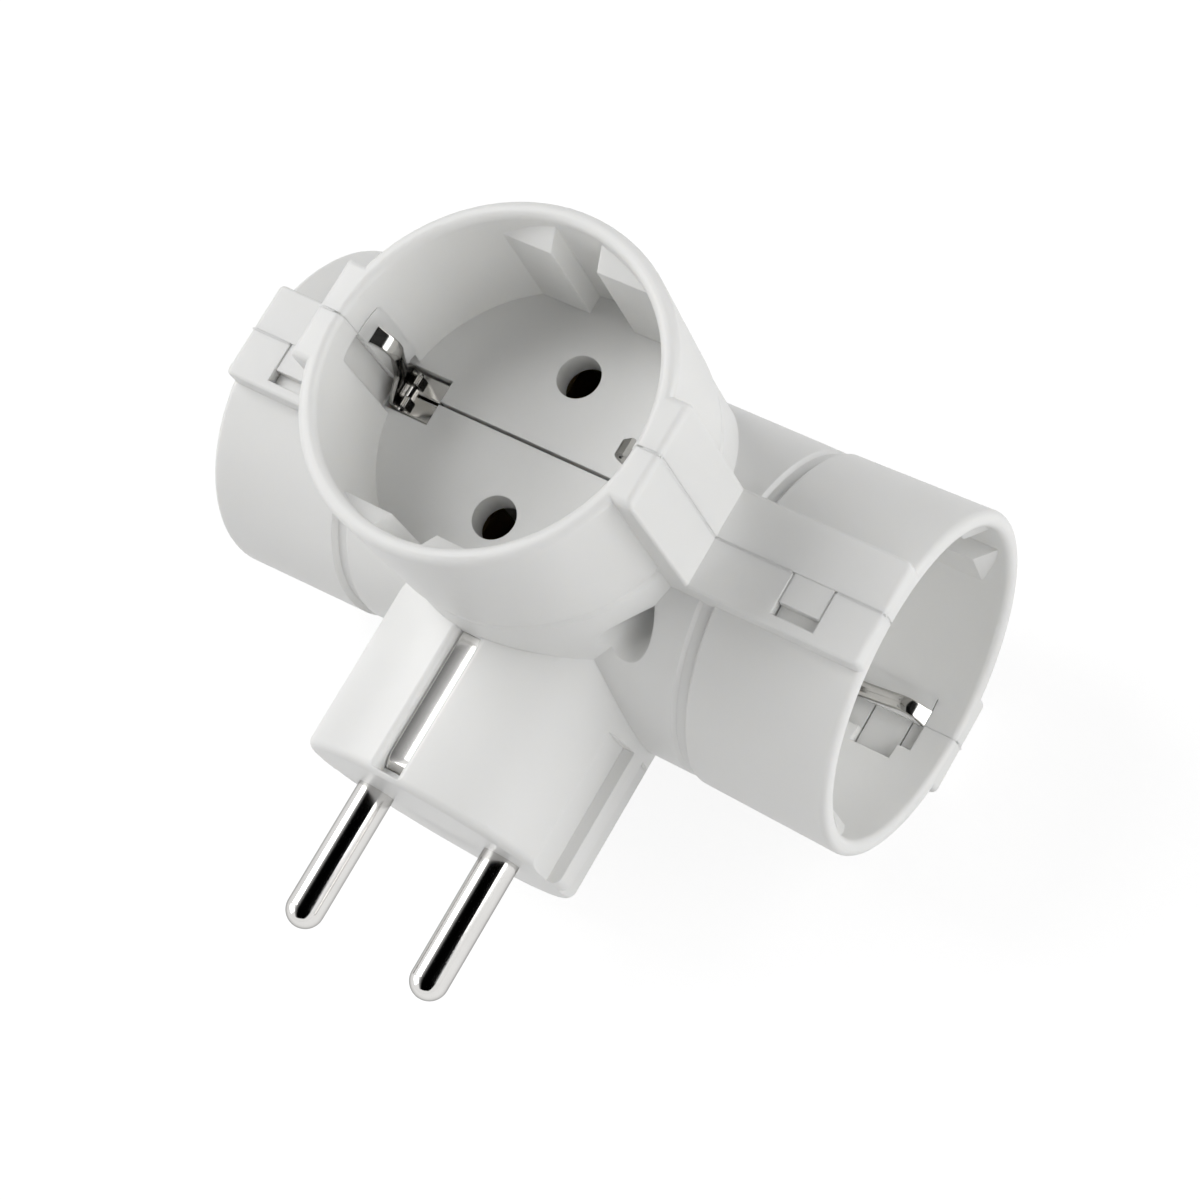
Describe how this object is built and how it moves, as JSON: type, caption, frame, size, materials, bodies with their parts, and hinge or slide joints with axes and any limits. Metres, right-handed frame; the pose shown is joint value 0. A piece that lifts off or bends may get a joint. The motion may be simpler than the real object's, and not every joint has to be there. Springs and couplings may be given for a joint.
{
  "type": "multi socket adapter",
  "caption": "T-shaped plug-in adapter: a round earthed plug on a moulded hub that carries round socket cups facing left, right and up, with spring earth clips.",
  "frame": {"origin": "middle of the plug face, between the two pins", "axes": "-Y out of the plug along the pins, +Z out of the top socket, +X out of the right socket"},
  "size_m": [0.09, 0.0811, 0.0681],
  "materials": {
    "housing_plastic": "satin moulded",
    "nickel_plate": "bright nickel plate",
    "contact_brass": "plain sheet",
    "zinc_steel": "zinc plated"
  },
  "bodies": {
    "root": {"earth_sheet": "contact_brass", "front_shell": "housing_plastic", "housing_screws": "zinc_steel", "left_line_spring": "contact_brass", "left_lower_earth_clip": "nickel_plate", "left_neutral_spring": "contact_brass", "left_upper_earth_clip": "nickel_plate", "line_busbar": "contact_brass", "line_pin": "nickel_plate", "neutral_busbar": "contact_brass", "neutral_pin": "nickel_plate", "plug_earth_bow": "nickel_plate", "rear_shell": "housing_plastic", "right_line_spring": "contact_brass", "right_lower_earth_clip": "nickel_plate", "right_neutral_spring": "contact_brass", "right_upper_earth_clip": "nickel_plate", "top_left_earth_clip": "nickel_plate", "top_line_spring": "contact_brass", "top_neutral_spring": "contact_brass", "top_right_earth_clip": "nickel_plate"}
  },
  "joints": []
}
